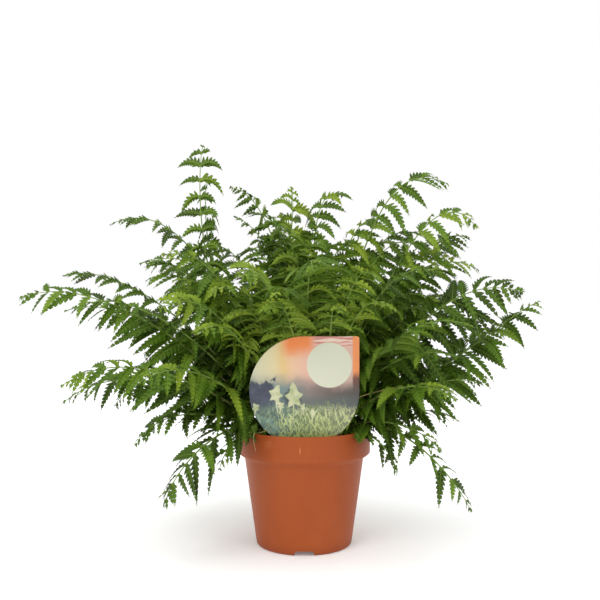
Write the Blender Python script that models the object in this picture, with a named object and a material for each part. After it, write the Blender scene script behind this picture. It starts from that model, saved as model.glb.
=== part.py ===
"""Potted fern: a nursery pot, its potting soil, the fern's crown and fronds, and a plant label.

Metres, +Z up. The origin is on the pot's axis, at the level of its foot. -Y is the front,
where the label stands. Every piece follows the named sizes below.
"""

import bisect
import itertools
import math
from typing import NamedTuple

import bmesh
import bpy
from mathutils import Matrix, Vector
from mathutils.bvhtree import BVHTree

# Pot: a thin moulded shell with a stepped rim band
POT_HEIGHT = 0.114
RIM_RADIUS = 0.065
RIM_BAND = 0.024  # height of the rim band's straight face
RIM_STEP = 0.0065  # how far the rim band stands out from the wall
RIM_SHOULDER = 0.0045  # height of the slope from the wall out to the rim band
FOOT_RADIUS = 0.047
FOOT_ROUND = 0.003
WALL = 0.0013
FLOOR_RISE = 0.005  # underside of the floor above the foot
FOOT_RING = 0.0035  # width of the ring that the pot stands on
PAD_RADIUS = 0.012  # round pad under the middle of the floor, level with the foot
NOTCH_COUNT = 4
NOTCH_WIDTH = 0.016
NOTCH_HEIGHT = 0.0046
NOTCH_SPLAY = 0.002  # how much wider a notch is on each side at its mouth
DRAIN_COUNT = 8
DRAIN_RADIUS = 0.004
DRAIN_TURN = 11  # degrees that keep a hole's corners off the edges of the floor's facets
TURNED_SIDES = 48

# Soil and crown
SOIL_DEPTH_BELOW_RIM = 0.014
SOIL_FALL = 0.002  # how much lower the soil lies at the wall
CROWN_RADIUS = 0.034
CROWN_HEIGHT = 0.018
GAP = 0.0003  # between pieces that touch

# Label: a round card with one square corner, on a pointed stake
LABEL_RADIUS = 0.051
LABEL_THICKNESS = 0.0006
LABEL_SETBACK = 0.015  # from the rim's outer edge back to the label's face
LABEL_LIFT = 0.003  # of the round head above the soil
STAKE_WIDTH = 0.012
STAKE_DEPTH = 0.040  # into the soil
STAKE_POINT = 0.010
LABEL_ARC_STEPS = 30

# Fronds
GROWTH = 1.0  # scales every frond from the crown
STIPE_WIDTH = 0.0024
STIPE_THICKNESS = 0.0018
BLADE_THICKNESS = 0.0012
BARE_SHARE = 0.27  # of a frond's length, before its first leaflets
LEAFLET_PAIRS = 8
LEAFLET_SWEEP = 0.30  # how far a leaflet's tip leans towards the frond's tip, to its length
LEAFLET_SAG = 0.16  # how far it hangs, to its length
NOTCH_SHARE = 0.30  # the blade's half width between two leaflets, to its width at them
CLEARANCE = 0.0003  # kept between two fronds

# How a frond may lie differently to stay clear of the others, each with what counts as one step
SWAYS, SWAY_STEP = (0, 9, -9, 18, -18, 27, -27), 14  # degrees
TURNS, TURN_STEP = (0, 4, -4, 8, -8, 13, -13), 5  # degrees
LIFTS, LIFT_STEP = (0, 0.007, -0.007, 0.014, -0.014, 0.024), 0.008  # metres
ROLLS, ROLL_STEP = (0, 14, -14, 28, -28), 16  # degrees
RISES, RISE_STEP = (0, 5, -5), 5  # degrees
WIDTHS, WIDTH_STEP = (1.0, 0.85, 0.7, 0.5), 0.18  # shares of the width
STEEPEST = 86  # degrees
MOST_LOOSE = 5  # how much further round the crown a steep stipe may start

TERRACOTTA = (0.40, 0.115, 0.048)
PEAT = (0.045, 0.030, 0.020)
SCALY_BROWN = (0.085, 0.045, 0.022)
CARD = (0.62, 0.58, 0.42)
LEAF_GREEN = (0.060, 0.150, 0.020)


class Frond(NamedTuple):
    """One frond. Lengths are in metres and angles in degrees, azimuths from +X towards +Y."""

    azimuth: float  # of the tip, seen from the pot's axis
    reach: float  # of the tip, from the axis
    height: float  # of the tip, above the soil
    rise: float  # slope of the stipe where it leaves the crown
    fall: float  # slope of the tip
    roll: float  # turn of the blade about its midrib; positive lowers its left side
    width: float  # half of the blade at its widest
    sway: float = 0  # how far round the crown its stipe starts, from under its tip


LEFT_FRONDS = (
    Frond(192, 0.100, 0.296, 62, 96, 10, 0.031),
    Frond(180, 0.194, 0.216, 62, -25, 25, 0.033),
    Frond(184, 0.272, 0.148, 48, -4, 30, 0.033),
    Frond(175, 0.243, 0.170, 53, 4, 15, 0.028),
    Frond(195, 0.229, 0.061, 39, -35, 45, 0.038),
    Frond(187, 0.230, 0.042, 33, -40, 30, 0.033),
    Frond(198, 0.163, 0.006, 34, -62, 20, 0.026),
    Frond(216, 0.152, -0.041, 36, -74, 30, 0.036),
    Frond(223, 0.104, -0.020, 40, -80, 15, 0.020),
    Frond(158, 0.080, 0.262, 78, 35, -10, 0.036),
    Frond(210, 0.060, 0.230, 81, 20, 0, 0.036),
    Frond(169, 0.214, 0.121, 45, -15, 20, 0.038),
    Frond(192, 0.181, 0.040, 41, -70, 10, 0.031),
    Frond(201, 0.139, 0.185, 66, 0, 20, 0.040),
    Frond(141, 0.128, 0.200, 68, 5, -10, 0.040),
)
RIGHT_FRONDS = (
    Frond(8, 0.146, 0.258, 71, -25, -25, 0.038),
    Frond(-7, 0.166, 0.210, 66, -55, -20, 0.028),
    Frond(19, 0.184, 0.212, 62, 5, -10, 0.028),
    Frond(9, 0.185, 0.172, 58, -30, -15, 0.028),
    Frond(-11, 0.208, 0.148, 52, -15, -40, 0.041),
    Frond(0, 0.231, 0.129, 31, 42, -55, 0.041),
    Frond(-7, 0.171, 0.063, 37, 0, -20, 0.031),
    Frond(-24, 0.150, 0.055, 38, -10, -25, 0.031),
    Frond(-12, 0.149, 0.025, 33, -20, -20, 0.028),
    Frond(-22, 0.135, 0.000, 33, -50, -20, 0.026),
    Frond(-25, 0.165, -0.050, 39, -62, -35, 0.028),
    Frond(-36, 0.104, -0.018, 38, -80, -10, 0.020),
    Frond(-28, 0.140, 0.165, 72, -20, -15, 0.034),
)
MIDDLE_FRONDS = (
    Frond(99, 0.081, 0.264, 80, 60, 0, 0.036),
    Frond(43, 0.059, 0.248, 80, -10, 0, 0.036),
    Frond(30, 0.099, 0.231, 75, 10, -15, 0.036),
    Frond(-79, 0.051, 0.212, 85, 30, 0, 0.036),
    Frond(90, 0.110, 0.220, 74, 10, 0, 0.036),
)
FRONT_FRONDS = (
    Frond(250, 0.150, 0.160, 80, -25, 10, 0.034),
    Frond(272, 0.165, 0.150, 80, -30, 0, 0.034),
    Frond(-66, 0.150, 0.165, 80, -25, -10, 0.034),
    Frond(232, 0.178, 0.135, 66, -15, 20, 0.038),
    Frond(-45, 0.184, 0.120, 60, -10, -15, 0.038),
    Frond(218, 0.178, 0.070, 47, -25, 30, 0.040),
    Frond(-45, 0.170, 0.055, 45, -25, -20, 0.038),
    Frond(258, 0.100, 0.205, 84, 0, 5, 0.034),
    Frond(-60, 0.100, 0.210, 83, 5, -5, 0.034),
)
BACK_FRONDS = (
    Frond(60, 0.200, 0.190, 61, -10, -5, 0.040),
    Frond(85, 0.220, 0.160, 55, -15, 5, 0.046),
    Frond(110, 0.200, 0.200, 62, -10, 0, 0.040),
    Frond(135, 0.230, 0.150, 52, -20, 10, 0.044),
    Frond(153, 0.200, 0.180, 58, -10, 10, 0.044),
    Frond(35, 0.210, 0.170, 56, -15, -10, 0.044),
    Frond(50, 0.200, 0.080, 41, -35, -5, 0.038),
    Frond(75, 0.190, 0.030, 36, -50, 0, 0.036),
    Frond(100, 0.210, 0.070, 41, -40, 5, 0.038),
    Frond(125, 0.190, 0.020, 36, -55, 0, 0.036),
    Frond(148, 0.210, 0.080, 43, -35, 10, 0.038),
    Frond(22, 0.200, 0.050, 39, -40, -10, 0.038),
    Frond(165, 0.170, 0.000, 35, -60, 5, 0.033),
)
GROUPS = {
    "left": LEFT_FRONDS,
    "right": RIGHT_FRONDS,
    "middle": MIDDLE_FRONDS,
    "front": FRONT_FRONDS,
    "back": BACK_FRONDS,
}

SOIL_LEVEL = POT_HEIGHT - SOIL_DEPTH_BELOW_RIM
SHOULDER_TOP = POT_HEIGHT - RIM_BAND
SHOULDER_FOOT = SHOULDER_TOP - RIM_SHOULDER
WALL_RADIUS = RIM_RADIUS - RIM_STEP
FLOOR_TOP = FLOOR_RISE + WALL
CROWN_BASE = SOIL_LEVEL + GAP
UP = Vector((0, 0, 1))


def clear_scene():
    for obj in list(bpy.data.objects):
        bpy.data.objects.remove(obj, do_unlink=True)


def material(name, colour, roughness):
    made = bpy.data.materials.new(name)
    made.use_nodes = True
    shader = made.node_tree.nodes["Principled BSDF"]
    shader.inputs["Base Color"].default_value = (*colour, 1)
    shader.inputs["Roughness"].default_value = roughness
    made.diffuse_color = (*colour, 1)
    return made


def add_object(name, points, faces, finish=None):
    mesh = bpy.data.meshes.new(name)
    mesh.from_pydata([tuple(point) for point in points], [], faces)
    if finish:
        mesh.materials.append(finish)
    obj = bpy.data.objects.new(name, mesh)
    bpy.context.scene.collection.objects.link(obj)
    return obj


def shade_round(obj, sharp_from=40):
    obj.data.shade_smooth()
    obj.data.set_sharp_from_angle(angle=math.radians(sharp_from))


def turned(name, profile, finish):
    """A solid turned about Z. The profile runs from the axis out, up and back to the axis."""
    turns = [2 * math.pi * step / TURNED_SIDES for step in range(TURNED_SIDES)]
    rings = profile[1:-1]
    points = [Vector((0, 0, profile[0][1]))]
    for radius, z in rings:
        points += [Vector((radius * math.cos(turn), radius * math.sin(turn), z)) for turn in turns]
    points.append(Vector((0, 0, profile[-1][1])))
    faces = []
    for step in range(TURNED_SIDES):
        after = (step + 1) % TURNED_SIDES
        faces.append((0, 1 + after, 1 + step))
        for ring in range(len(rings) - 1):
            low = 1 + ring * TURNED_SIDES
            high = low + TURNED_SIDES
            faces.append((low + step, low + after, high + after, high + step))
        last = 1 + (len(rings) - 1) * TURNED_SIDES
        faces.append((last + step, last + after, len(points) - 1))
    obj = add_object(name, points, faces, finish)
    shade_round(obj)
    return obj


def cutter(name, points, faces):
    obj = add_object(name, points, faces)
    obj.hide_render = True
    obj.display_type = "WIRE"
    return obj


def prism_cutter(name, outline, start, end):
    """A cutter of this outline, given as offsets (across, up), from start to end along its way."""
    way = (end - start).normalized()
    across = way.cross(UP) if abs(way.z) < 0.5 else Vector((1, 0, 0))
    rise = across.cross(way)
    points = [base + across * x + rise * y for base in (start, end) for x, y in outline]
    count = len(outline)
    faces = [tuple(reversed(range(count))), tuple(range(count, 2 * count))]
    faces += [(i, (i + 1) % count, count + (i + 1) % count, count + i) for i in range(count)]
    obj = cutter(name, points, faces)
    tidy = bmesh.new()
    tidy.from_mesh(obj.data)
    bmesh.ops.recalc_face_normals(tidy, faces=tidy.faces)
    tidy.to_mesh(obj.data)
    tidy.free()
    return obj


def cut(obj, tool):
    modifier = obj.modifiers.new(tool.name, "BOOLEAN")
    modifier.operation = "DIFFERENCE"
    modifier.solver = "EXACT"
    modifier.object = tool


def outer_radius(z):
    """The pot's outer radius at height z, below the rim band's shoulder."""
    return FOOT_RADIUS + (WALL_RADIUS - FOOT_RADIUS) * z / SHOULDER_FOOT


def arc(centre, radius, start, end, steps):
    """Points (x, y) on a circle between two angles in degrees."""
    angles = [math.radians(start + (end - start) * i / steps) for i in range(steps + 1)]
    return [(centre[0] + radius * math.cos(a), centre[1] + radius * math.sin(a)) for a in angles]


def inner_profile(inset):
    """The pot's inside from the floor up to the rim band, set in from it by this much."""
    wall = WALL + inset
    floor = FLOOR_TOP + inset
    foot = (outer_radius(floor) - wall, floor)
    shoulder = (WALL_RADIUS - wall, SHOULDER_FOOT)
    band = (RIM_RADIUS - wall, SHOULDER_TOP)
    return [foot, shoulder, band]


def build_pot():
    foot_corner = (FOOT_RADIUS - FOOT_ROUND, FOOT_ROUND)
    ring_inside = FOOT_RADIUS - FOOT_ROUND - FOOT_RING
    lip = (RIM_RADIUS - WALL / 2, POT_HEIGHT - WALL / 2)
    profile = [(0, 0), (PAD_RADIUS, 0), (PAD_RADIUS + WALL, FLOOR_RISE)]
    profile += [(ring_inside - WALL, FLOOR_RISE), (ring_inside, 0)]
    profile += arc(foot_corner, FOOT_ROUND, -90, 0, 3)
    profile += [(WALL_RADIUS, SHOULDER_FOOT), (RIM_RADIUS, SHOULDER_TOP)]
    profile += arc(lip, WALL / 2, 0, 180, 4)
    profile += [*reversed(inner_profile(0)), (0, FLOOR_TOP)]
    pot = turned("pot", profile, material("terracotta_plastic", TERRACOTTA, 0.45))
    half, mouth = NOTCH_WIDTH / 2, NOTCH_WIDTH / 2 + NOTCH_SPLAY
    notch = [(-mouth, -WALL), (mouth, -WALL), (mouth, 0), (half, NOTCH_HEIGHT)]
    notch += [(-half, NOTCH_HEIGHT), (-mouth, 0)]
    for index in range(NOTCH_COUNT):
        way = direction(-90 + 360 * index / NOTCH_COUNT, 0)
        start = way * (PAD_RADIUS + 2 * WALL)
        tool = prism_cutter(f"notch_cutter_{index + 1}", notch, start, way * RIM_RADIUS)
        cut(pot, tool)
    drain = arc((0, 0), DRAIN_RADIUS, DRAIN_TURN, DRAIN_TURN + 315, 7)
    drain_ring = (PAD_RADIUS + ring_inside) / 2 + WALL
    for index in range(DRAIN_COUNT):
        spot = direction(-90 + 360 * index / DRAIN_COUNT, 0) * drain_ring
        low, high = spot + UP * FLOOR_RISE / 2, spot + UP * (FLOOR_TOP + WALL)
        cut(pot, prism_cutter(f"drain_cutter_{index + 1}", drain, low, high))
    return pot


def build_soil():
    foot, shoulder, band = inner_profile(GAP)
    edge = (band[0], SOIL_LEVEL - SOIL_FALL)
    seat = (CROWN_RADIUS + 4 * GAP, SOIL_LEVEL)
    profile = [(0, foot[1]), foot, shoulder, band, edge, seat, (0, SOIL_LEVEL)]
    soil = turned("potting_soil", profile, material("peat_soil", PEAT, 0.95))
    half = STAKE_WIDTH / 2 + GAP
    face = label_face()
    back = -LABEL_THICKNESS - GAP
    outline = [(-half, back), (half, back), (half, GAP), (-half, GAP)]
    top = Vector((0, face, SOIL_LEVEL + LABEL_LIFT))
    bottom = Vector((0, face, SOIL_LEVEL - STAKE_DEPTH - GAP))
    cut(soil, prism_cutter("stake_slot_cutter", outline, bottom, top))
    return soil


def build_crown():
    """The low dome of old frond bases that every stipe leaves."""
    profile = [(0, CROWN_BASE)]
    for x, y in arc((0, 0), 1, 0, 90, 7):
        profile.append((CROWN_RADIUS * x, CROWN_BASE + CROWN_HEIGHT * y))
    profile[-1] = (0, CROWN_BASE + CROWN_HEIGHT)
    return turned("crown", profile, material("crown_scales", SCALY_BROWN, 0.9))


def label_face():
    """The y of the label's printed face."""
    return -(RIM_RADIUS - LABEL_SETBACK)


def build_label():
    """The head and the stake are one flat sheet, standing upright just inside the rim."""
    centre = (0, SOIL_LEVEL + LABEL_LIFT + LABEL_RADIUS)
    neck = math.degrees(math.asin(STAKE_WIDTH / 2 / LABEL_RADIUS))
    tip = SOIL_LEVEL - STAKE_DEPTH
    half = STAKE_WIDTH / 2
    outline = [(LABEL_RADIUS, centre[1] + LABEL_RADIUS)]
    outline += arc(centre, LABEL_RADIUS, 90, 270 - neck, LABEL_ARC_STEPS)
    outline += [(-half, tip + STAKE_POINT), (0, tip), (half, tip + STAKE_POINT)]
    outline += arc(centre, LABEL_RADIUS, 270 + neck, 360, LABEL_ARC_STEPS // 2)
    count = len(outline)
    depths = (label_face(), label_face() + LABEL_THICKNESS)
    points = [Vector((x, y, z)) for y in depths for x, z in outline]
    faces = [tuple(range(count)), tuple(reversed(range(count, 2 * count)))]
    faces += [(i, count + i, count + (i + 1) % count, (i + 1) % count) for i in range(count)]
    return add_object("plant_label", points, faces, material("label_card", CARD, 0.35))


def direction(azimuth, slope):
    """A unit vector at an azimuth and a slope in degrees."""
    turn, lift = math.radians(azimuth), math.radians(slope)
    return Vector((math.cos(turn) * math.cos(lift), math.sin(turn) * math.cos(lift), math.sin(lift)))


def crown_point(azimuth, rise):
    """Where a stipe of this slope meets the crown squarely, just off its surface."""
    turn = math.radians(azimuth)
    lift = math.atan(math.tan(math.radians(rise)) * CROWN_HEIGHT / CROWN_RADIUS)
    out = CROWN_RADIUS * math.cos(lift)
    spot = Vector((out * math.cos(turn), out * math.sin(turn), CROWN_HEIGHT * math.sin(lift)))
    return spot + UP * CROWN_BASE + direction(azimuth, rise) * GAP


def bezier(a, b, c, d, t):
    s = 1 - t
    return a * s**3 + b * (3 * s * s * t) + c * (3 * s * t * t) + d * t**3


def midrib(frond):
    """A function that gives the point at any share of the frond's length, crown to tip."""
    base = crown_point(frond.azimuth + frond.sway, frond.rise)
    tip = direction(frond.azimuth, 0) * (frond.reach * GROWTH)
    tip += UP * (SOIL_LEVEL + frond.height * (GROWTH if frond.height > 0 else 1))
    chord = (tip - base).length
    start = base + direction(frond.azimuth + frond.sway, frond.rise) * chord * 0.42
    end = tip - direction(frond.azimuth, frond.fall) * chord * 0.32
    fine = 96
    points = [bezier(base, start, end, tip, i / fine) for i in range(fine + 1)]
    run = [0.0]
    for before, after in itertools.pairwise(points):
        run.append(run[-1] + (after - before).length)

    def at(share):
        want = share * run[-1]
        index = min(bisect.bisect_right(run, want), fine) - 1
        part = (want - run[index]) / (run[index + 1] - run[index])
        return points[index].lerp(points[index + 1], min(part, 1.0))

    return at


def blade_width(frond, share):
    """Half of the blade's width at a share of its own length: widest near a fifth, pointed."""
    return frond.width * (1 - share) ** 0.8 * (0.75 + 0.25 * min(1, share / 0.2))


def stations(frond):
    """(share of the length, half width, thickness, is a leaflet pair) of each cross-section."""
    rows = []
    for step in range(3):
        rows.append((BARE_SHARE * step / 3, STIPE_WIDTH / 2, STIPE_THICKNESS, False))
    count = 2 * LEAFLET_PAIRS
    for step in range(count + 1):
        share = step / (count + 0.6)
        width = blade_width(frond, share)
        wide = step % 2 == 1
        half = width if wide else max(width * NOTCH_SHARE, STIPE_WIDTH / 2)
        thickness = BLADE_THICKNESS * (1 - 0.4 * share)
        rows.append((BARE_SHARE + (1 - BARE_SHARE) * share, half, thickness, wide))
    rows.append((1.0, BLADE_THICKNESS / 2, BLADE_THICKNESS / 2, False))
    return rows


def frond_mesh(frond, grow=0.0):
    """Points and faces of a frond, swept in four-cornered sections and grown all round."""
    at = midrib(frond)
    points = []
    for share, half, thickness, wide in stations(frond):
        centre = at(share)
        level = direction(frond.azimuth + frond.sway * (1 - share) ** 2 + 90, 0)
        way = (at(min(share + 0.01, 1.0)) - at(max(share - 0.01, 0.0))).normalized()
        side = (level - way * level.dot(way)).normalized()
        turn = Matrix.Rotation(-math.radians(frond.roll) * min(1, share / 0.5), 3, way)
        side = turn @ side
        top = way.cross(side)
        sweep = way * (half * LEAFLET_SWEEP)
        if wide:
            sweep -= top * (half * LEAFLET_SAG)
        points.append(centre + side * (half + grow) + sweep)
        points.append(centre + top * (thickness / 2 + grow))
        points.append(centre - side * (half + grow) + sweep)
        points.append(centre - top * (thickness / 2 + grow))
    sections = len(points) // 4
    faces = [(3, 2, 1), (3, 1, 0)]
    for low, corner in itertools.product(range(0, 4 * (sections - 1), 4), (0, 2)):
        # The split runs from the side to the midrib on the top and the bottom alike.
        side, top, bottom = low + corner, low + corner + 1, low + (corner + 3) % 4
        faces += [(side, top, top + 4), (side, top + 4, side + 4)]
        faces += [(side, side + 4, bottom + 4), (side, bottom + 4, bottom)]
    last = 4 * (sections - 1)
    faces += [(last, last + 1, last + 2), (last, last + 2, last + 3)]
    return points, faces


def nudges():
    """Small changes to how a frond lies, the smallest first."""
    found = []
    for change in itertools.product(SWAYS, TURNS, LIFTS, ROLLS, RISES, WIDTHS):
        sway, turn, lift, roll, rise, width = change
        steps = (sway / SWAY_STEP, turn / TURN_STEP, lift / LIFT_STEP, roll / ROLL_STEP)
        steps += (rise / RISE_STEP, (1 - width) / WIDTH_STEP)
        found.append((sum(step * step for step in steps), change))
    return [change for _, change in sorted(found, key=lambda row: row[0])]


def nudged(frond, change):
    sway, turn, lift, roll, rise, width = change
    loose = min(MOST_LOOSE, 1 / math.cos(math.radians(frond.rise)))
    return frond._replace(
        azimuth=frond.azimuth + turn,
        height=frond.height + lift,
        rise=min(frond.rise + rise, STEEPEST),
        roll=frond.roll + roll,
        width=frond.width * width,
        sway=frond.sway + sway * loose,
    )


class Thicket:
    """Everything placed so far, so that the next frond can be laid clear of it."""

    def __init__(self, solids):
        self.points = []
        self.faces = []
        for obj in solids:
            evaluated = obj.evaluated_get(bpy.context.evaluated_depsgraph_get())
            mesh = evaluated.to_mesh()
            mesh.calc_loop_triangles()
            faces = [tuple(face.vertices) for face in mesh.loop_triangles]
            self.add([vertex.co.copy() for vertex in mesh.vertices], faces)
            evaluated.to_mesh_clear()

    def add(self, points, faces):
        first = len(self.points)
        self.points += points
        self.faces += [tuple(first + corner for corner in face) for face in faces]
        self.tree = BVHTree.FromPolygons(self.points, self.faces)

    def lay(self, frond, changes):
        """The frond moved as little as it needs to touch nothing: its points and faces."""
        for change in changes:
            moved = nudged(frond, change)
            points, faces = frond_mesh(moved, CLEARANCE * 0.8)
            if not self.tree.overlap(BVHTree.FromPolygons(points, faces)):
                points, faces = frond_mesh(moved)
                self.add(points, faces)
                return points, faces
        raise RuntimeError(f"no room for {frond}")


def build_fronds(solids):
    """The steepest fronds first, because they are the heart that the others lie round."""
    green = material("fern_leaf", LEAF_GREEN, 0.5)
    thicket = Thicket(solids)
    named = {
        f"frond_{group}_{number:02d}": frond
        for group, fronds in GROUPS.items()
        for number, frond in enumerate(fronds, 1)
    }
    steepest_first = sorted(named.items(), key=lambda row: -row[1].rise)
    changes = nudges()
    for name, frond in steepest_first:
        points, faces = thicket.lay(frond, changes)
        add_object(name, points, faces, green)


def main():
    clear_scene()
    solids = [build_pot(), build_soil(), build_crown(), build_label()]
    bpy.context.view_layer.update()
    build_fronds(solids)


main()
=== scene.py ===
"""Potted fern: the plant, its nursery pot, soil and label, and the studio that it stands in.

Metres, +Z up, -Y to the front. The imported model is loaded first, and every piece is built on it.
Each operator makes one piece or one group of like pieces, and main() runs them in order.
"""

import itertools
import math
import random

import bmesh
import bpy
import numpy as np
from bpy.props import FloatProperty, FloatVectorProperty, IntProperty, PointerProperty
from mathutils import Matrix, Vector, noise


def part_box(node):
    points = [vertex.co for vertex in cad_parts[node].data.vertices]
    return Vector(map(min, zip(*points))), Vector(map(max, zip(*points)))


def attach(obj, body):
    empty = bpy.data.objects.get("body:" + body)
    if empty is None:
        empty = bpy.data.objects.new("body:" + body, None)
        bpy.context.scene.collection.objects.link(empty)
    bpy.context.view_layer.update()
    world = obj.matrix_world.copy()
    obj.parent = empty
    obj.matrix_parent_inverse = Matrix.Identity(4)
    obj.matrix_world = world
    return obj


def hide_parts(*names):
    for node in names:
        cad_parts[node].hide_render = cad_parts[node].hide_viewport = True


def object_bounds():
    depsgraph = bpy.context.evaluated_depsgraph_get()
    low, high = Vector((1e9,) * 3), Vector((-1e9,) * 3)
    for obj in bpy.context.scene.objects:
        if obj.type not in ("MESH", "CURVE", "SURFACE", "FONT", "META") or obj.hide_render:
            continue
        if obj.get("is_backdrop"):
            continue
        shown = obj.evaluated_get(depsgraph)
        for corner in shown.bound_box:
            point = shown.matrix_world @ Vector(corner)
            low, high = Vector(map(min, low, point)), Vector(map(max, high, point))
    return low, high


bl_info = {
    "name": "Potted Fern",
    "version": (1, 0, 0),
    "blender": (4, 5, 0),
    "location": "View3D > Sidebar > Fern",
    "description": "Builds a potted fern on its packed model, and the studio around it",
    "category": "Object",
}

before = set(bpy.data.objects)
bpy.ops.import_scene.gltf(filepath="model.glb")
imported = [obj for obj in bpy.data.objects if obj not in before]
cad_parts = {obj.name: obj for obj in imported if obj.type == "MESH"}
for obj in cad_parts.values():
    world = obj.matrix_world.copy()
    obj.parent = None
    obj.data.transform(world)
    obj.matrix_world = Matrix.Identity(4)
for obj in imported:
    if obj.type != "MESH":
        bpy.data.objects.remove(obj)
MODEL_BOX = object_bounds()
POT_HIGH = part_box("pot")[1]
SOIL_LOW, SOIL_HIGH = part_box("potting_soil")
CROWN_LOW, CROWN_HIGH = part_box("crown")
LABEL_LOW, LABEL_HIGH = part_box("plant_label")
LABEL_RADIUS = LABEL_HIGH.x
LABEL_MIDDLE = LABEL_HIGH.z - LABEL_RADIUS


# Node trees


def rgb(code):
    """A linear colour from six hexadecimal digits."""
    parts = [int(code[i : i + 2], 16) / 255 for i in (0, 2, 4)]
    return tuple(p / 12.92 if p <= 0.04045 else ((p + 0.055) / 1.055) ** 2.4 for p in parts)


def rgba(code):
    return (*rgb(code), 1.0)


def maths(operation, reflected=False):
    """A method of Link that adds one Math node."""

    def method(self, other=0.0):
        first, second = (other, self) if reflected else (self, other)
        return self.pair(operation, first, second)

    return method


class Link:
    """An output socket in a Python expression: arithmetic on it adds Math nodes to its tree."""

    def __init__(self, tree, socket):
        self.tree = tree
        self.socket = socket

    def pair(self, operation, first, second, clamp=False):
        settings = {"operation": operation, "use_clamp": clamp}
        return self.tree.node("ShaderNodeMath", settings, {0: first, 1: second})[0]

    __add__ = __radd__ = maths("ADD")
    __sub__, __rsub__ = maths("SUBTRACT"), maths("SUBTRACT", reflected=True)
    __mul__ = __rmul__ = maths("MULTIPLY")
    __truediv__, __rtruediv__ = maths("DIVIDE"), maths("DIVIDE", reflected=True)
    __pow__ = maths("POWER")
    __lt__, __gt__ = maths("LESS_THAN"), maths("GREATER_THAN")
    least, most = maths("MINIMUM"), maths("MAXIMUM")
    size, sine, cosine = maths("ABSOLUTE"), maths("SINE"), maths("COSINE")
    angle_from = maths("ARCTAN2")

    def __neg__(self):
        return self * -1.0

    def clamped(self):
        return self.pair("ADD", self, 0.0, clamp=True)

    def ramp(self, low, high):
        """0 below low, 1 above high, and a smooth rise between."""
        settings = {"interpolation_type": "SMOOTHSTEP"}
        return self.tree.node("ShaderNodeMapRange", settings, {0: self, 1: low, 2: high})[0]


class Step:
    """A node that was added. Its outputs are read by name or number."""

    def __init__(self, tree, made):
        self.tree = tree
        self.made = made

    def __getitem__(self, key):
        return Link(self.tree, self.made.outputs[key])


class Tree:
    """A shader or geometry node tree, with one way to add a node."""

    def __init__(self, nodes):
        self.nodes = nodes

    def node(self, kind, settings=None, values=None):
        """Adds a node: its settings come first, then the values or links of its sockets."""
        made = self.nodes.nodes.new(kind)
        for key, value in (settings or {}).items():
            if key == "stops":
                ramp = made.color_ramp
                while len(ramp.elements) < len(value):
                    ramp.elements.new(1.0)
                for element, (position, colour) in zip(ramp.elements, value):
                    element.position, element.color = position, colour
            else:
                setattr(made, key, value)
        for key, value in (values or {}).items():
            for one in value if isinstance(value, list) else [value]:
                if isinstance(one, Link):
                    self.nodes.links.new(one.socket, made.inputs[key])
                else:
                    made.inputs[key].default_value = one
        return Step(self, made)

    def blend(self, factor, first, second):
        settings = {"data_type": "RGBA", "blend_type": "MIX", "clamp_factor": True}
        return self.node("ShaderNodeMix", settings, {0: factor, 6: first, 7: second})[2]

    def vector(self, operation, first, second=None, scale=None):
        values = {0: first}
        if second is not None:
            values[1] = second
        if scale is not None:
            values[3] = scale
        made = self.node("ShaderNodeVectorMath", {"operation": operation}, values)
        return made[1] if operation in ("DOT_PRODUCT", "LENGTH") else made[0]

    def total(self, *terms):
        """The sum of vectors, each times a number: (vector, number) pairs."""
        scaled = [self.vector("SCALE", vector, scale=number) for vector, number in terms]
        found = scaled[0]
        for term in scaled[1:]:
            found = self.vector("ADD", found, term)
        return found

    def parts(self, vector):
        split = self.node("ShaderNodeSeparateXYZ", values={0: vector})
        return split[0], split[1], split[2]

    def place(self):
        return self.node("ShaderNodeTexCoord")["Object"]

    def stretched(self, scale):
        settings = {"vector_type": "POINT"}
        return self.node("ShaderNodeMapping", settings, {0: self.place(), 3: scale})[0]

    def noise(self, scale, detail=3.0, at=None):
        values = {"Vector": at or self.place(), "Scale": scale, "Detail": detail, "Roughness": 0.55}
        return self.node("ShaderNodeTexNoise", values=values)[0]

    def cells(self, scale):
        """The distance to the nearest cell's middle."""
        values = {"Vector": self.place(), "Scale": scale}
        return self.node("ShaderNodeTexVoronoi", {"feature": "F1"}, values)[0]

    def attribute(self, name):
        return self.node("ShaderNodeAttribute", {"attribute_name": name})["Fac"]

    def colours(self, factor, stops):
        found = [(position, rgba(code)) for position, code in stops]
        return self.node("ShaderNodeValToRGB", {"stops": found}, {0: factor})[0]

    def bump(self, height, strength, distance):
        values = {"Height": height, "Strength": strength, "Distance": distance}
        return self.node("ShaderNodeBump", values=values)[0]


def finish(name, build):
    """A material. build adds its nodes to a tree and returns the shader's output."""
    made = bpy.data.materials.new(name)
    made.use_nodes = True
    made.node_tree.nodes.clear()
    tree = Tree(made.node_tree)
    tree.node("ShaderNodeOutputMaterial", values={0: build(tree)})
    return made


def principled(tree, colour, roughness, normal=None, **constants):
    """A Principled shader. Its constants are given as specular_ior_level for Specular IOR Level."""
    values = {"Base Color": colour, "Roughness": roughness}
    if normal is not None:
        values["Normal"] = normal
    for key, value in constants.items():
        values[key.replace("_", " ").title().replace("Ior", "IOR")] = value
    return tree.node("ShaderNodeBsdfPrincipled", values=values)[0]


# Meshes


def add_object(name, data):
    obj = bpy.data.objects.new(name, data)
    bpy.context.scene.collection.objects.link(obj)
    return obj


def mesh_of(name, points, faces, smooth=True):
    mesh = bpy.data.meshes.new(name)
    mesh.from_pydata([tuple(point) for point in points], [], faces)
    mesh.update()
    if smooth:
        mesh.shade_smooth()
    return mesh


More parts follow.
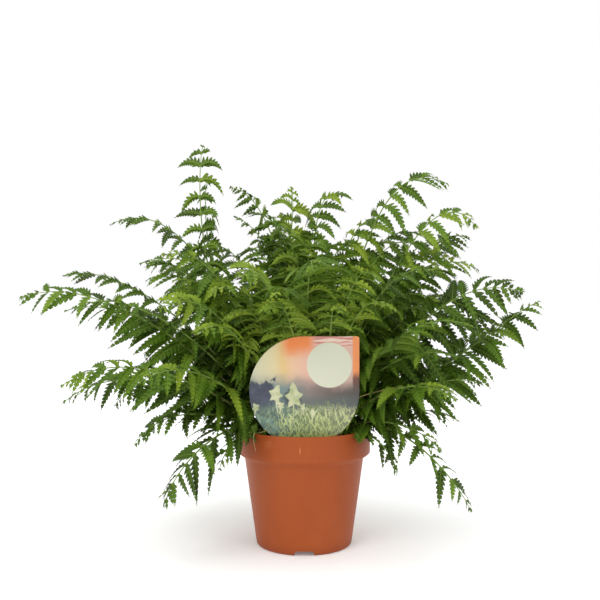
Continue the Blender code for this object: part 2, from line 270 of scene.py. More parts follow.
def face_outward(mesh, split=False):
    """Turns a closed mesh's faces outward, and splits its large ones into triangles if asked."""
    tidy = bmesh.new()
    tidy.from_mesh(mesh)
    bmesh.ops.recalc_face_normals(tidy, faces=tidy.faces)
    if split:
        bmesh.ops.triangulate(tidy, faces=[face for face in tidy.faces if len(face.verts) > 4])
    tidy.to_mesh(mesh)
    tidy.free()


def float_attribute(mesh, name, values, kind="FLOAT"):
    flat = np.asarray(values, np.float32).ravel()
    field = "vector" if kind == "FLOAT_VECTOR" else "value"
    mesh.attributes.new(name, kind, "POINT").data.foreach_set(field, flat)


def settle(obj):
    """The object as plain mesh: its modifiers are worked out, kept and removed."""
    bpy.context.view_layer.update()
    graph = bpy.context.evaluated_depsgraph_get()
    plain = bpy.data.meshes.new_from_object(obj.evaluated_get(graph), depsgraph=graph)
    obj.modifiers.clear()
    old = obj.data
    obj.data = plain
    plain.name = obj.name
    if old.users == 0:
        bpy.data.meshes.remove(old)
    return obj


def grow(obj, group, **inputs):
    """Runs a geometry node tree on the object, with its inputs given by name."""
    modifier = obj.modifiers.new("grow", "NODES")
    modifier.node_group = group
    for item in group.interface.items_tree:
        if item.in_out == "INPUT" and item.name in inputs:
            modifier[item.identifier] = inputs[item.name]
    return settle(obj)


def geometry_tree(name, inputs):
    """A geometry node group with a Base and a result, and named inputs: (name, kind, default)."""
    group = bpy.data.node_groups.new(name, "GeometryNodeTree")
    group.interface.new_socket("Base", in_out="INPUT", socket_type="NodeSocketGeometry")
    for label, kind, default in inputs:
        socket = group.interface.new_socket(label, in_out="INPUT", socket_type=f"NodeSocket{kind}")
        if default is not None:
            socket.default_value = default
    group.interface.new_socket("Result", in_out="OUTPUT", socket_type="NodeSocketGeometry")
    tree = Tree(group)
    return group, tree, tree.node("NodeGroupInput")


def named(tree, name, kind="FLOAT"):
    return tree.node("GeometryNodeInputNamedAttribute", {"data_type": kind}, {"Name": name})[0]


def keep(tree, geometry, name, value, kind="FLOAT", domain="POINT"):
    settings = {"data_type": kind, "domain": domain}
    values = {"Geometry": geometry, "Name": name, "Value": value}
    return tree.node("GeometryNodeStoreNamedAttribute", settings, values)[0]


def random_number(tree, low, high, seed):
    settings = {"data_type": "FLOAT"}
    return tree.node("FunctionNodeRandomValue", settings, {2: low, 3: high, 8: seed})[1]


def position(tree):
    return tree.node("GeometryNodeInputPosition")[0]


def combined(tree, x, y, z):
    return tree.node("ShaderNodeCombineXYZ", values={0: x, 1: y, 2: z})[0]


def realized(tree, geometry):
    return tree.node("GeometryNodeRealizeInstances", values={0: geometry})[0]


def joined(tree, *parts):
    return tree.node("GeometryNodeJoinGeometry", values={0: list(parts)})[0]


def resampled(tree, curve, count):
    return tree.node("GeometryNodeResampleCurve", {"mode": "COUNT"}, {0: curve, 2: count})[0]


def smooth_curve(tree, chains, count):
    """A smooth curve through each chain of points, with this many points along it."""
    curve = tree.node("GeometryNodeMeshToCurve", values={0: chains})[0]
    curve = tree.node("GeometryNodeCurveSplineType", {"spline_type": "CATMULL_ROM"}, {0: curve})[0]
    return resampled(tree, curve, count)


def circle(tree, sides):
    settings = {"mode": "RADIUS"}
    return tree.node("GeometryNodeCurvePrimitiveCircle", settings, {0: sides, 4: 1.0})[0]


def swept(tree, curve, section, size):
    """The section swept along the curve at this size, with its ends closed."""
    values = {0: curve, 1: section, 2: size, 3: True}
    return tree.node("GeometryNodeCurveToMesh", values=values)[0]


def aimed(tree, first, towards, second, beside):
    """A rotation that points one axis one way, and a second axis as near as it can another."""
    settings = {"primary_axis": first, "secondary_axis": second}
    return tree.node("FunctionNodeAxesToRotation", settings, {0: towards, 1: beside})[0]


def shape_of(tree, source):
    return tree.node("GeometryNodeObjectInfo", values={0: source})["Geometry"]


def copies(tree, points, shape, **more):
    """Copies of a shape on points. Selection, Rotation and Scale can be given."""
    values = {"Points": points, "Instance": shape, **more}
    return tree.node("GeometryNodeInstanceOnPoints", values=values)[0]


def end_tree(tree, geometry, material):
    """Every tree ends in Realize Instances and Set Material."""
    values = {0: realized(tree, geometry), 2: material}
    painted = tree.node("GeometryNodeSetMaterial", values=values)[0]
    tree.node("NodeGroupOutput", values={0: painted})


def turned(name, profile, sides=160):
    """A closed shape turned about Z. The profile runs from the axis out, up and back to it."""
    turns = [2 * math.pi * step / sides for step in range(sides)]
    rings = profile[1:-1]
    points = [(0, 0, profile[0][1])]
    points += [(r * math.cos(a), r * math.sin(a), z) for r, z in rings for a in turns]
    points.append((0, 0, profile[-1][1]))
    faces = []
    for step in range(sides):
        after = (step + 1) % sides
        faces.append((0, 1 + after, 1 + step))
        for low in range(1, 1 + (len(rings) - 1) * sides, sides):
            high = low + sides
            faces.append((low + step, low + after, high + after, high + step))
        last = 1 + (len(rings) - 1) * sides
        faces.append((last + step, last + after, len(points) - 1))
    return mesh_of(name, points, faces)


def arc(centre, radius, start, end, steps):
    angles = [math.radians(start + (end - start) * i / steps) for i in range(steps + 1)]
    return [(centre[0] + radius * math.cos(a), centre[1] + radius * math.sin(a)) for a in angles]


def place_piece(obj, node):
    """The piece rides on the model and stands for its node."""
    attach(obj, "root")
    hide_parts(node)


# Settings


def metres(name, text, default):
    return FloatProperty(name=name, description=text, default=default, min=0.0001, unit="LENGTH")


def degrees(name, text, default):
    angle = math.radians(default)
    return FloatProperty(name=name, description=text, default=angle, subtype="ANGLE")


def amount(name, text, default):
    return FloatProperty(name=name, description=text, default=default)


def number(name, text, default):
    return IntProperty(name=name, description=text, default=default, min=0)


def tint(name, text, code):
    colour = {"default": rgb(code), "subtype": "COLOR", "min": 0, "max": 1}
    return FloatVectorProperty(name=name, description=text, **colour)


# Fronds


class FrondSettings(bpy.types.PropertyGroup):
    spacing: metres("Leaflet spacing", "Between leaflet pairs where a frond is widest", 0.0118)
    first: amount("Bare stalk", "Share of a frond's length below its first leaflets", 0.15)
    taper: amount("Taper", "A leaflet's reach, to its distance from the frond's tip", 0.55)
    paired: metres("Paired above", "A frond that rises above this bears a second blade", 0.205)
    crowded: metres("Crowded above", "A frond that rises above this bears a third blade", 0.26)
    pitch: metres("Lobe pitch", "Between two lobes of a leaflet", 0.0036)
    lean: degrees("Lean", "How far a leaflet points towards the frond's tip", 20)
    sag: amount("Sag", "How far a leaflet's tip hangs, to its length", 0.10)
    droop: amount("Droop", "How far a leaflet's thin tip curls down", 0.26)
    breadth: amount("Breadth", "A leaflet's half width, to its length", 0.205)
    turn: degrees("Turn", "Most that a leaflet turns on its own rib", 32)
    fold: amount("Fold", "How far a leaflet's two sides fold up", 0.22)
    deep: tint("Deep green", "Older leaflets", "1c3605")
    fresh: tint("Fresh green", "Young leaflets", "a4bb38")


def leaf_finish(settings):
    """Green by age and by patches, paler along the veins, with some light let through."""
    def build(tree):
        lot, young, edge = (tree.attribute(name) for name in ("lot", "young", "edge"))
        woody, share = tree.attribute("woody"), tree.attribute("share")
        patch = tree.noise(38.0, detail=4.0)
        grain = tree.noise(420.0, detail=2.0)
        tone = (patch - 0.5) * 0.9 + (lot - 0.5) * 0.55 + young * 0.75 + share * 0.18 + 0.16
        leaf = tree.blend((tone * 2.0).clamped(), (*settings.deep, 1), rgba("5a8018"))
        leaf = tree.blend((tone * 2.0 - 0.9).clamped(), leaf, (*settings.fresh, 1))
        leaf = tree.blend(grain.ramp(0.35, 0.75) * 0.25, leaf, rgba("1c3608"))
        leaf = tree.blend((1.0 - edge).ramp(0.45, 1.0) * 0.35, leaf, rgba("90a848"))
        leaf = tree.blend(edge.ramp(0.93, 1.0) * 0.22, leaf, rgba("24400f"))
        stalk = tree.blend(share.ramp(0.1, 0.7), rgba("6b6a38"), rgba("83a04a"))
        leaf = tree.blend(woody, leaf, stalk)
        normal = tree.bump(edge * 0.6 + grain * 0.25, 0.35, 0.0006)
        rough = 0.50 + grain * 0.14 - young * 0.06
        skin = principled(tree, leaf, rough, normal, specular_ior_level=0.20)
        glow = tree.node("ShaderNodeBsdfTranslucent", values={"Color": rgba("94b02a")})[0]
        return tree.node("ShaderNodeMixShader", values={0: 0.27, 1: skin, 2: glow})[0]

    return finish("fern_blade", build)


def lobe_shape():
    """One lobe of a leaflet: a thin closed blade from X 0 to 1, as wide as Y -0.5 to 0.5."""
    outline = [(0.0, 0.46), (0.30, 0.52), (0.62, 0.40), (0.88, 0.20), (1.04, 0.02)]
    outline += [(0.90, -0.16), (0.60, -0.36), (0.28, -0.50), (0.0, -0.46)]
    spine = [(0.0, 0.0), (0.42, 0.02), (0.78, 0.03)]
    rim = len(outline)
    points = [(x, y, 0.035 * (1 - (2 * y) ** 2) - 0.02 * x) for x, y in outline]
    for lift in (0.035, -0.055):
        points += [(x, y, lift * (1.0 - 0.3 * x)) for x, y in spine]
    top = [(0, 1, rim), (1, 2, rim + 1, rim), (2, 3, rim + 2, rim + 1), (3, 4, rim + 2)]
    top += [(4, 5, rim + 2), (5, 6, rim + 1, rim + 2), (6, 7, rim, rim + 1), (7, 8, rim)]
    under = [tuple(i + 3 if i >= rim else i for i in reversed(face)) for face in top]
    faces = [tuple(reversed(face)) for face in top] + [tuple(reversed(face)) for face in under]
    # The open end meets the leaflet's rib.
    faces += [(rim, 0, rim + 3), (8, rim, rim + 3)]
    mesh = mesh_of("lobe", points, faces)
    face_outward(mesh)
    for line in mesh.edges:
        line.use_edge_sharp = all(index < rim for index in line.vertices)
    float_attribute(mesh, "edge", [1.0] * rim + [0.0] * 6)
    return mesh


def rings_of(node):
    """A frond's cross-sections on the model, from the crown to the tip, four corners each."""
    body = bmesh.new()
    body.from_mesh(node.data)
    bmesh.ops.remove_doubles(body, verts=body.verts, dist=1e-6)
    heart = Vector((0, 0, CROWN_LOW.z))
    ring = sorted(body.verts, key=lambda corner: (corner.co - heart).length)[:4]
    seen, rings = set(), []
    while ring:
        rings.append([corner.co.copy() for corner in ring])
        seen.update(corner.index for corner in ring)
        found = {e.other_vert(corner).index for corner in ring for e in corner.link_edges}
        body.verts.ensure_lookup_table()
        ring = [body.verts[index] for index in sorted(found - seen)]
    body.free()
    if any(len(ring) != 4 for ring in rings):
        raise RuntimeError(f"{node.name} isn't made of four-cornered sections")
    return rings


def read_midrib(node):
    """Centres, up vectors, run along the rib and half widths of a frond on the model."""
    centres, ups, halves, hangs = [], [], [], []
    for a, b, c, d in rings_of(node):
        splits = [((a, b), (c, d)), ((a, c), (b, d)), ((a, d), (b, c))]
        pairs = min(splits, key=lambda s: (s[0][0] + s[0][1] - s[1][0] - s[1][1]).length)
        thin, wide = sorted(pairs, key=lambda pair: (pair[0] - pair[1]).length)
        centres.append((thin[0] + thin[1]) / 2)
        ups.append((thin[0] - thin[1]).normalized())
        halves.append((wide[0] - wide[1]).length / 2)
        hangs.append(centres[-1] - (wide[0] + wide[1]) / 2)
    widest = max(range(len(halves)), key=lambda index: halves[index])
    if ups[widest].dot(hangs[widest]) < 0:
        ups[widest].negate()
    for order in (range(widest, -1, -1), range(widest, len(ups))):
        for before, index in itertools.pairwise(order):
            if ups[index].dot(ups[before]) < 0:
                ups[index].negate()
    centres = np.array([tuple(centre) for centre in centres])
    run = np.concatenate([[0], np.cumsum(np.linalg.norm(np.diff(centres, axis=0), axis=1))])
    return centres, np.array([tuple(up) for up in ups]), run, np.array(halves)


def along(run, values, at):
    """Values at these distances, on a smooth curve through the known ones."""
    slopes = np.gradient(values, run, axis=0)
    index = np.clip(np.searchsorted(run, at, "right") - 1, 0, len(run) - 2)
    span = (run[index + 1] - run[index])[:, None]
    t = (at - run[index])[:, None] / span
    a, b = values[index], values[index + 1]
    p, q = slopes[index] * span, slopes[index + 1] * span
    return (
        a * (1 + 2 * t) * (1 - t) ** 2 + p * t * (1 - t) ** 2
        + b * t * t * (3 - 2 * t) + q * t * t * (t - 1)
    )


# What is known of single fronds: degrees that the blade turns on its rib, its taper, and its
# leaflets' spacing to the usual one. The others draw theirs.
TWISTS = {"frond_left_01": 66, "frond_left_10": 40}
TAPERS = {"frond_left_01": 1.15, "frond_middle_01": 0.95, "frond_middle_02": 0.85}
TAPERS["frond_right_06"] = 0.8
SPACINGS = {"frond_left_01": 1.35}
FIRST_LEAFLETS = 4  # the first wide section; every second one after it is wide
LONGER = 1.38  # a leaflet's reach to the model's half width, since leaflets bend and hang
TIP_REACH = 0.0030  # reach of the last leaflets
TIP_GAP = 0.0012  # from the last leaflets to the end of the rib
NEAR = 0.001  # how far apart two points are that give the rib's direction


def chain(name, settings, draw, shape):
    """Points along one blade's rib, and what the leaflets need at each of them."""
    centres, ups, run, halves = shape
    tip = run[-1]
    wide = np.arange(FIRST_LEAFLETS, len(run) - 1, 2)
    broadest = halves[wide].max()
    known = np.concatenate([[0, tip * settings.first], run[wide]])
    outline = np.concatenate([[broadest * 0.7, broadest * 1.10], halves[wide] * LONGER])
    outline[4:] = np.maximum(outline[4:], broadest * 1.02)
    taper = TAPERS.get(name, settings.taper * draw.uniform(0.85, 1.3))
    spacing = settings.spacing * SPACINGS.get(name, draw.uniform(0.92, 1.18))

    def reach_at(stop):
        return np.minimum(np.interp(stop, known, outline), (tip - stop) * taper + TIP_REACH)

    first = tip * settings.first + draw.uniform(0, 0.5) * spacing
    stops = list(np.linspace(0, first, 5)[:-1])
    bare = len(stops)
    stop = first
    while stop < tip - TIP_GAP:
        stops.append(stop)
        stop += spacing * (0.24 + 0.76 * (float(reach_at(stop)) / broadest) ** 0.9)
    stops = np.array([*stops, tip])
    points = along(run, centres, stops)
    up = along(run, ups, stops)
    ahead, behind = np.minimum(stops + NEAR, tip), np.maximum(stops - NEAR, 0)
    way = along(run, centres, ahead) - along(run, centres, behind)
    way /= np.linalg.norm(way, axis=1)[:, None]
    up -= way * (up * way).sum(1)[:, None]
    up /= np.linalg.norm(up, axis=1)[:, None]
    turn = np.radians(TWISTS.get(name, draw.uniform(-26, 26)))
    turn = turn * np.clip(stops / tip * 2.5 - 0.4, 0, 1)
    side = np.cross(way, up)
    up = up * np.cos(turn)[:, None] + side * np.sin(turn)[:, None]
    hook = np.clip((stops / tip - 0.84) / 0.16, 0, 1) ** 2 * draw.uniform(0.002, 0.011)
    points[:, 2] -= hook * np.clip(way[:, 2] + 0.6, 0, 1)
    reach = reach_at(stops)
    reach[:bare] = 0
    share = stops / tip
    return {
        "points": points, "up": up, "way": way, "side": np.cross(up, way), "reach": reach,
        "share": share, "girth": 0.00115 * (1 - share) + 0.0003, "span": np.full(len(stops), tip),
    }


def beside(shape, draw):
    """The shape of a smaller blade that grows from the same foot, a little to one side."""
    centres, ups, run, halves = shape
    swing = math.radians(draw.choice((-1, 1)) * draw.uniform(9, 15))
    size = draw.uniform(0.80, 0.93)
    spin = np.array([
        [math.cos(swing), -math.sin(swing), 0], [math.sin(swing), math.cos(swing), 0], [0, 0, 1],
    ])
    offset = (centres - centres[0]) @ spin.T
    offset[:, 2] *= draw.uniform(0.86, 1.0)
    return centres[0] + offset * size, ups @ spin.T, run * size, halves * size


def skeleton(node, settings, young, draw):
    """A frond's ribs as chains of points: its own, and smaller ones beside it high up."""
    shape = read_midrib(node)
    peak = shape[0][:, 2].max()
    chains = [chain(node.name, settings, draw, shape)]
    for height in (settings.paired, settings.crowded):
        if peak > height:
            chains.append(chain("", settings, draw, beside(shape, draw)))
    mesh = bpy.data.meshes.new(node.name)
    points = np.concatenate([part["points"] for part in chains])
    lengths = [len(part["points"]) for part in chains]
    starts = np.cumsum([0, *lengths])
    links = [(i, i + 1) for low, count in zip(starts, lengths) for i in range(low, low + count - 1)]
    mesh.from_pydata([tuple(point) for point in points], [(int(a), int(b)) for a, b in links], [])
    for name in ("up", "way", "side"):
        float_attribute(mesh, name, np.concatenate([part[name] for part in chains]), "FLOAT_VECTOR")
    for name in ("reach", "share", "girth", "span"):
        float_attribute(mesh, name, np.concatenate([part[name] for part in chains]))
    float_attribute(mesh, "young", np.full(len(points), young))
    float_attribute(mesh, "lane", np.repeat([0.0, 1.0, 2.0][: len(chains)], lengths))
    return mesh


def frond_tree(settings):
    """Grows the stalk, the leaflets' ribs and their lobes on chains of points from skeleton()."""
    inputs = [("Lobe", "Object", None), ("Blade", "Material", None), ("Seed", "Int", 1)]
    for name in ("pitch", "lean", "sag", "droop", "breadth", "fold", "turn"):
        inputs.append((name.title(), "Float", getattr(settings, name)))
    group, tree, given = geometry_tree("fern_frond", inputs)
    vector = "FLOAT_VECTOR"
    here = position(tree)
    side, up, way = (named(tree, name, vector) for name in ("side", "up", "way"))
    root, out = named(tree, "root", vector), named(tree, "out", vector)
    share, reach, size = named(tree, "share"), named(tree, "reach"), named(tree, "size")
    lot, t = named(tree, "lot"), named(tree, "along")

    # The stalk and rib
    rib = keep(tree, smooth_curve(tree, given["Base"], 48), "root", here, vector)
    stalk = keep(tree, swept(tree, rib, circle(tree, 6), named(tree, "girth")), "woody", 1.0)

    # Two leaflets at each point, each on its own curved rib
    bearing = tree.node("GeometryNodeMeshToPoints", values={0: given["Base"], 1: reach > 0.0001})[0]
    twins = tree.node("GeometryNodeDuplicateElements", {"domain": "POINT"}, {0: bearing, 2: 2})
    outward = tree.vector("SCALE", side, scale=1.0 - twins[1] * 2.0)
    points = keep(tree, twins[0], "out", outward, vector)
    points = keep(tree, points, "lot", random_number(tree, 0.0, 1.0, given["Seed"]))
    points = keep(tree, points, "bend", random_number(tree, -1.0, 1.0, given["Seed"] + 7.0))
    points = keep(tree, points, "root", here, vector)
    longer = random_number(tree, 0.80, 1.20, given["Seed"] + 3.0)
    points = keep(tree, points, "size", reach * longer)
    line = tree.node("GeometryNodeCurvePrimitiveLine", {"mode": "POINTS"}, {1: (1, 0, 0)})[0]
    count = (size / given["Pitch"] + 1.5).most(4.0).least(15.0)
    even = tree.node("GeometryNodeSplineParameter")[0]
    ribs = resampled(tree, realized(tree, copies(tree, points, line)), count)
    ribs = keep(tree, ribs, "along", even)
    bend = named(tree, "bend")
    angle = given["Lean"] + share ** 3.0 * 0.42 + bend * 0.20
    lift = (lot - 0.4) * 0.60
    steep = tree.parts(way)[2].most(0.0) ** 2.0
    curved = tree.total(
        (root, 1.0),
        (out, size * t * angle.cosine()),
        (way, size * (t * angle.sine() + t * t * (0.10 + bend * 0.26))),
        (up, size * (t * lift - t * t * (given["Sag"] + bend * 0.10))),
        ((0, 0, 1), -(size * t * t * (given["Droop"] + lot * 0.30) * (steep * 1.3 + 0.9))),
    )
    ribs = tree.node("GeometryNodeSetPosition", values={0: ribs, 2: curved})[0]
    ribs = keep(tree, resampled(tree, ribs, count), "along", even)
    pace = tree.node("GeometryNodeSplineLength")[0] / (count - 1.0)
    ribs = keep(tree, ribs, "pace", pace)
    heading = tree.node("GeometryNodeInputTangent")[0]
    across = tree.vector("NORMALIZE", tree.vector("CROSS_PRODUCT", up, heading))
    tilt = (lot * 7.3).sine() * given["Turn"]
    square = tree.vector("CROSS_PRODUCT", heading, across)
    across = tree.total((across, tilt.cosine()), (square, tilt.sine()))
    ribs = keep(tree, ribs, "heading", heading, vector)
    ribs = keep(tree, ribs, "across", across, vector)
    heading, across = named(tree, "heading", vector), named(tree, "across", vector)
    face = tree.vector("CROSS_PRODUCT", heading, across)
    length = (size * given["Breadth"] + 0.0009) * ((1.0 - t) * (t * 0.80 + 1.0) + 0.03)

    # A leaflet's rib, with the strip of blade that joins its lobes
    ribs = tree.node("GeometryNodeSetCurveNormal", {"mode": "FREE"}, {0: ribs, 2: face})[0]
    values = {"Geometry": circle(tree, 4), "Scale": (0.13, 1, 1)}
    flat = tree.node("GeometryNodeTransform", values=values)[0]
    strip = keep(tree, swept(tree, ribs, flat, length * 0.30 + 0.00018), "woody", 0.10)

    # Lobes on both sides of each leaflet's rib
    beads = tree.node("GeometryNodeCurveToPoints", {"mode": "EVALUATED"}, {0: ribs})[0]
    lobe = shape_of(tree, given["Lobe"])
    scale = combined(tree, length, named(tree, "pace") * 1.04, length)
    sides = []
    for hand in (1.0, -1.0):
        reaching = tree.total((heading, 0.52 + 0.30 * t), (across, hand * 0.86))
        facing = tree.total((face, 1.0), (across, -hand * given["Fold"]))
        turn = aimed(tree, "Z", facing, "X", reaching)
        sides.append(copies(tree, beads, lobe, Selection=t > 0.02, Rotation=turn, Scale=scale))
    lobes = realized(tree, joined(tree, *sides))

    # Nothing grows through the plant label: what would is pressed against its back
    x, y, z = tree.parts(here)
    behind = LABEL_HIGH.y + 0.0004
    ahead = behind - y
    card = (x.size() < LABEL_RADIUS + 0.001) * (z < ahead * 0.06 + LABEL_HIGH.z + 0.0012)
    card = card * (ahead > 0.0) * (ahead < 0.06)
    values = {0: joined(tree, stalk, strip, lobes), 1: card}
    values[2] = combined(tree, x, ahead * 0.15 + behind, z)
    whole = tree.node("GeometryNodeSetPosition", values=values)[0]

    # One flat map of the whole frond, seen square on, with a third of its height for each blade
    offset = tree.vector("SUBTRACT", here, root)
    span = named(tree, "span")
    run = (tree.vector("DOT_PRODUCT", offset, way) / span + share) * 0.92 + 0.02
    spread = tree.vector("DOT_PRODUCT", offset, side) / span * 0.42
    spread = spread + (named(tree, "lane") + 0.5) / 3.0
    whole = keep(tree, whole, "OFBake", combined(tree, run, spread, 0.0), "FLOAT2", "CORNER")
    end_tree(tree, whole, given["Blade"])
    return group


# Attributes that only the tree reads
SPARE = ("up", "way", "side", "root", "out", "size", "along", "heading", "across", "bend")
SPARE += ("pace", "span", "reach", "girth", "lane")


class FERN_OT_fronds(bpy.types.Operator):
    """Grows every frond's stalk, leaflets and lobes along the model's fronds"""

    bl_idname = "fern.fronds"
    bl_label = "Grow the fronds"

    def execute(self, context):
        settings = context.scene.fern_fronds
        blade = leaf_finish(settings)
        lobe = add_object("lobe", lobe_shape())
        group = frond_tree(settings)
        nodes = sorted(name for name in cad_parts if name.startswith("frond_"))
        for seed, name in enumerate(nodes):
            draw = random.Random(seed + 11)
            inner = "middle" in name or "front" in name
            young = draw.uniform(-0.28, 0.32) + (0.35 if inner else 0.0)
            obj = add_object(f"{name}_leafy", skeleton(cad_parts[name], settings, young, draw))
            grow(obj, group, Lobe=lobe, Blade=blade, Seed=seed * 31 + 5)
            for spare in SPARE:
                found = obj.data.attributes.get(spare)
                if found:
                    obj.data.attributes.remove(found)
            place_piece(obj, name)
        bpy.data.objects.remove(lobe)
        return {"FINISHED"}


# Pot


class PotSettings(bpy.types.PropertyGroup):
    wall: metres("Wall", "Thickness of the moulded wall", 0.0013)
    band: metres("Rim band", "Height of the rim band", 0.024)
    step: metres("Rim step", "How far the rim band stands out", 0.0065)
    colour: tint("Plastic", "Colour of the moulded plastic", "9c4a1f")


FOOT_RADIUS = 0.047
FOOT_ROUND = 0.003
FOOT_RING = 0.0035  # width of the ring that the pot stands on
PAD_RADIUS = 0.012  # of the round pad under the middle of the floor
FLOOR_RISE = 0.005
SHOULDER = 0.0045  # height of the slope from the wall out to the band
NOTCH = (0.008, 0.010, 0.0046)  # half width at its top and at its mouth, and height
DRAIN_RING, DRAIN_RADIUS = 0.0275, 0.004


def pot_finish(settings):
    """Moulded plastic with faint flow marks, dust towards the rim and a darker foot."""
    def build(tree):
        x, y, z = tree.parts(tree.place())
        flow = tree.noise(1.0, detail=4.0, at=tree.stretched((30, 30, 7)))
        cloud = tree.noise(14.0, detail=3.0)
        grain = tree.noise(900.0, detail=2.0)
        skin = tree.blend(flow.ramp(0.35, 0.75) * 0.35, (*settings.colour, 1), rgba("8c401c"))
        skin = tree.blend(cloud.ramp(0.45, 0.80) * 0.30, skin, rgba("b05c30"))
        skin = tree.blend((1.0 - z.ramp(0.0, 0.012)) * 0.25, skin, rgba("6e3218"))
        dust = tree.noise(70.0, detail=5.0).ramp(0.56, 0.80) * z.ramp(0.08, POT_HIGH.z)
        skin = tree.blend(dust * 0.16, skin, rgba("c99a7c"))
        # The pale mark that the moulding gate leaves on the front of the rim
        across, down = (x + 0.004).size() / 0.0007, (z - POT_HIGH.z + 0.0125).size() / 0.0052
        gate = (1.0 - (across + down).ramp(0.55, 1.0)) * (y < 0.0)
        skin = tree.blend(gate * 0.6, skin, rgba("d98a62"))
        rough = 0.40 + flow * 0.10 + dust * 0.15
        normal = tree.bump(grain * 0.3 + flow * 0.7, 0.10, 0.0006)
        return principled(tree, skin, rough, normal, specular_ior_level=0.20)

    return finish("terracotta_moulding", build)


def pierced_tree():
    """Cuts copies of a tool, set round Z, from the base. Count and ring radius are inputs."""
    inputs = [("Tool", "Object", None), ("Count", "Int", 4), ("Ring", "Float", 0.04)]
    inputs.append(("Plastic", "Material", None))
    group, tree, given = geometry_tree("pierced", inputs)
    values = {0: given["Count"], 1: 1.0}
    ring = tree.node("GeometryNodeMeshCircle", {"fill_type": "NONE"}, values)[0]
    here = position(tree)
    turn = aimed(tree, "X", here, "Z", (0, 0, 1))
    moved = copies(tree, ring, shape_of(tree, given["Tool"]), Rotation=turn)
    outward = tree.vector("SUBTRACT", tree.vector("SCALE", here, scale=given["Ring"]), here)
    moved = tree.node("GeometryNodeSetPosition", values={0: moved, 3: outward})[0]
    settings = {"operation": "DIFFERENCE", "solver": "EXACT"}
    values = {0: given["Base"], 1: realized(tree, moved)}
    cut = tree.node("GeometryNodeMeshBoolean", settings, values)[0]
    end_tree(tree, cut, given["Plastic"])
    return group


def prism(name, outline, axis, low, high):
    """A closed prism of an outline in the two other axes, along axis 0 for X or 2 for Z."""
    count = len(outline)
    if axis == 0:
        points = [(end, a, b) for end in (low, high) for a, b in outline]
    else:
        points = [(a, b, end) for end in (low, high) for a, b in outline]
    faces = [tuple(reversed(range(count))), tuple(range(count, 2 * count))]
    faces += [(i, (i + 1) % count, count + (i + 1) % count, count + i) for i in range(count)]
    mesh = mesh_of(name, points, faces, smooth=False)
    face_outward(mesh)
    return add_object(name, mesh)


def pot_profile(settings):
    """Radius and height round the wall: under the foot, up the outside, and down the inside."""
    rim, height, wall = POT_HIGH.x, POT_HIGH.z, settings.wall
    body = rim - settings.step
    band_foot = height - settings.band
    shoulder = band_foot - SHOULDER
    ring_inside = FOOT_RADIUS - FOOT_ROUND - FOOT_RING
    floor = FLOOR_RISE + wall
    soften = 0.0007
    profile = [(0, 0), (0.0112, 0), (PAD_RADIUS, 0.0003), (PAD_RADIUS + wall, FLOOR_RISE)]
    profile += [(ring_inside - wall, FLOOR_RISE), (ring_inside, 0.0003), (ring_inside + 0.0005, 0)]
    profile += arc((FOOT_RADIUS - FOOT_ROUND, FOOT_ROUND), FOOT_ROUND, -90, 0, 6)
    profile += [(body - 0.0001, shoulder - 0.0012), (body + 0.0003, shoulder - 0.0002)]
    profile += [(rim - 0.0006, band_foot - 0.0007), (rim - 0.0001, band_foot + 0.0002)]
    profile += [(rim, band_foot + 0.0014), (rim, height - 0.0052), (rim - 0.0003, height - 0.0046)]
    profile += arc((rim - wall / 2 - 0.0001, height - wall / 2), wall / 2, 0, 180, 8)
    profile += [(rim - wall, band_foot + soften), (rim - wall - soften, band_foot - 0.0006)]
    profile += [(body - wall, shoulder - 0.0004), (body - wall - 0.0002, shoulder - 0.002)]
    inner_foot = FOOT_RADIUS + (body - FOOT_RADIUS) * floor / shoulder - wall
    profile += [(inner_foot + 0.0001, floor + 0.001), (inner_foot - 0.001, floor), (0, floor)]
    return profile


class FERN_OT_pot(bpy.types.Operator):
    """Turns the nursery pot, with its rim band, foot notches and drain holes"""

    bl_idname = "fern.pot"
    bl_label = "Make the pot"

    def execute(self, context):
        settings = context.scene.fern_pot
        plastic = pot_finish(settings)
        group = pierced_tree()
        pot = add_object("nursery_pot", turned("nursery_pot", pot_profile(settings)))
        half, mouth, height = NOTCH
        outline = [(-mouth, -0.002), (mouth, -0.002), (mouth, 0)]
        outline += [(half, height), (-half, height), (-mouth, 0)]
        notch = prism("notch_tool", outline, 0, -0.0245, 0.012)
        grow(pot, group, Tool=notch, Count=4, Ring=0.040, Plastic=plastic)
        drain = prism("drain_tool", arc((0, 0), DRAIN_RADIUS, 7, 352, 23), 2, 0.0026, 0.010)
        grow(pot, group, Tool=drain, Count=8, Ring=DRAIN_RING, Plastic=plastic)
        for tool in (notch, drain):
            bpy.data.objects.remove(tool)
        pot.data.shade_smooth()
        pot.data.set_sharp_from_angle(angle=math.radians(34))
        place_piece(pot, "pot")
        return {"FINISHED"}


# Soil and crown


SOIL_SETBACK = 0.0013  # from the pot's outside to the soil, at the foot


class SoilSettings(bpy.types.PropertyGroup):
    crumb: metres("Crumb", "Height of the soil's crumbs", 0.0016)
    bits: number("Bits", "Loose bits of bark and grit on the soil", 420)
    straw: metres("Straw", "Radius of a dry stalk", 0.0005)
    scales: number("Scales", "Scales and old stubs on the crown", 520)


def soil_finish():
    def build(tree):
        clump = tree.noise(130.0, detail=5.0)
        spot = tree.cells(420.0)
        colour = tree.colours(clump, [(0.30, "120c08"), (0.52, "2b1d13"), (0.75, "4a3524")])
        colour = tree.blend((0.16 - spot).ramp(0.0, 0.10) * 0.5, colour, rgba("5d4630"))
        normal = tree.bump(clump * 0.8 + spot * 0.4, 0.7, 0.002)
        return principled(tree, colour, 0.93, normal, specular_ior_level=0.25)

    return finish("peat", build)


